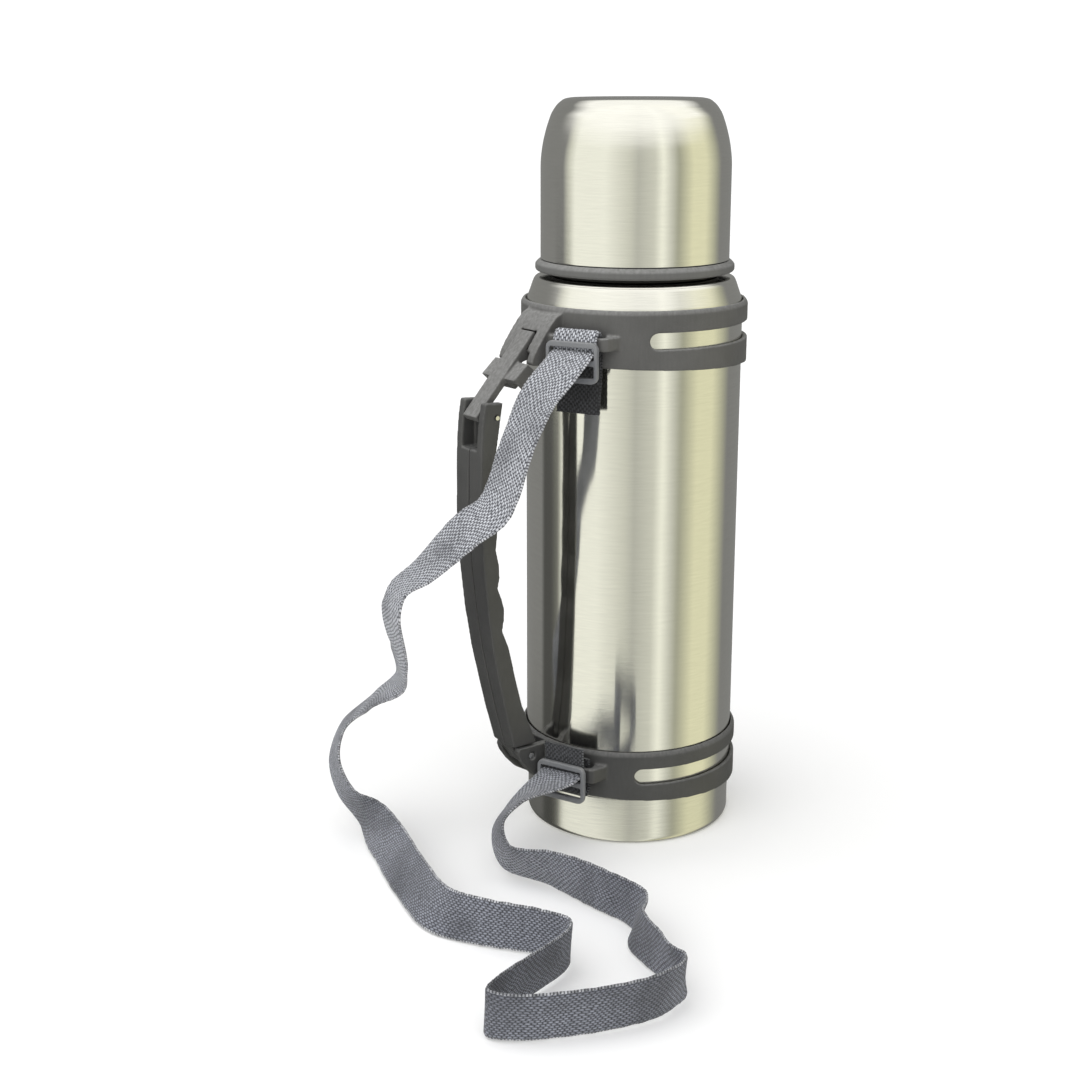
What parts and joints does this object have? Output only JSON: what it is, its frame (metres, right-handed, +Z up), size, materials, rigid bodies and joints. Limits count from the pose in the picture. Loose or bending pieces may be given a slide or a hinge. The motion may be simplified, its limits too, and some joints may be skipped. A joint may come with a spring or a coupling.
{
  "type": "vacuum flask",
  "caption": "Stainless-steel vacuum flask with a screw-on drinking cup, two plastic bands, a folding side handle and a webbing shoulder strap.",
  "frame": {"origin": "on the plane the flask stands on, under the middle of the flask and its handle taken together; the flask's own axis stands 19.2 mm along +X from it", "axes": "+Z up along the flask, the carrying handle reaching out along -X, the strap fixed on the -Y side of the handle"},
  "size_m": [0.2206, 0.2253, 0.322],
  "materials": {
    "steel_outside": "circumferentially brushed stainless steel",
    "steel_inside": "plain drawn stainless steel",
    "band_plastic": "dark warm grey, fine satin texture",
    "ring_plastic": "mid grey satin",
    "black_plastic": "near-black satin",
    "seal_rubber": "soft silicone",
    "buckle_plastic": "light grey moulded plastic",
    "pin_steel": "bright turned steel",
    "webbing": "flat woven ribbed webbing, blue-grey"
  },
  "bodies": {
    "flask": {"outer_shell": "steel_outside", "shell_shoulder": "steel_outside", "shell_neck": "steel_outside", "inner_vessel": "steel_inside", "vessel_shoulder": "steel_inside", "outer_bottom": "steel_inside", "vacuum_seal": "steel_inside", "base_cap": "steel_outside", "neck_collar": "black_plastic", "upper_band": "band_plastic", "lower_band": "band_plastic", "link_pin": "pin_steel", "lug_pin": "pin_steel", "shoulder_strap": "webbing", "upper_strap_loop": "webbing", "lower_strap_loop": "webbing", "upper_slider": "buckle_plastic", "lower_slider": "buckle_plastic"},
    "cup": {"cup_shell": "steel_outside", "cup_liner": "black_plastic", "cup_liner_crown": "black_plastic", "cup_liner_top": "black_plastic", "cup_ring": "ring_plastic"},
    "stopper": {"stopper_body": "black_plastic", "stopper_gasket": "seal_rubber", "rim_gasket": "seal_rubber", "button_spring": "pin_steel"},
    "button": {"pour_button": "ring_plastic", "valve_stem": "black_plastic", "valve_seal": "seal_rubber"},
    "grip": {"grip_half_right": "band_plastic", "grip_half_left": "band_plastic", "grip_cross_pin": "pin_steel"},
    "link": {"handle_link": "band_plastic"}
  },
  "joints": [
    {"name": "cup_lift", "type": "slide", "parent": "flask", "child": "cup", "axis": [0, 0, 1], "range_m": [0, 0.08]},
    {"name": "stopper_lift", "type": "slide", "parent": "flask", "child": "stopper", "axis": [0, 0, 1], "range_m": [0, 0.028]},
    {"name": "button_press", "type": "slide", "parent": "stopper", "child": "button", "axis": [0, 0, -1], "range_m": [0, 0.004], "stiffness_N_per_m": 400, "springref_m": -0.004, "deforming": ["button_spring"]},
    {"name": "grip_fold", "type": "hinge", "parent": "flask", "child": "grip", "pos_m": [-0.0418, 0, 0.0405], "axis": [0, 1, 0], "range_deg": [0, 7]},
    {"name": "link_swing", "type": "hinge", "parent": "flask", "child": "link", "pos_m": [-0.0398, 0, 0.2205], "axis": [0, -1, 0], "range_deg": [0, 35]}
  ],
  "couplings": [
    {"joint": "link_swing", "follows": "grip_fold", "ratio": 5}
  ]
}
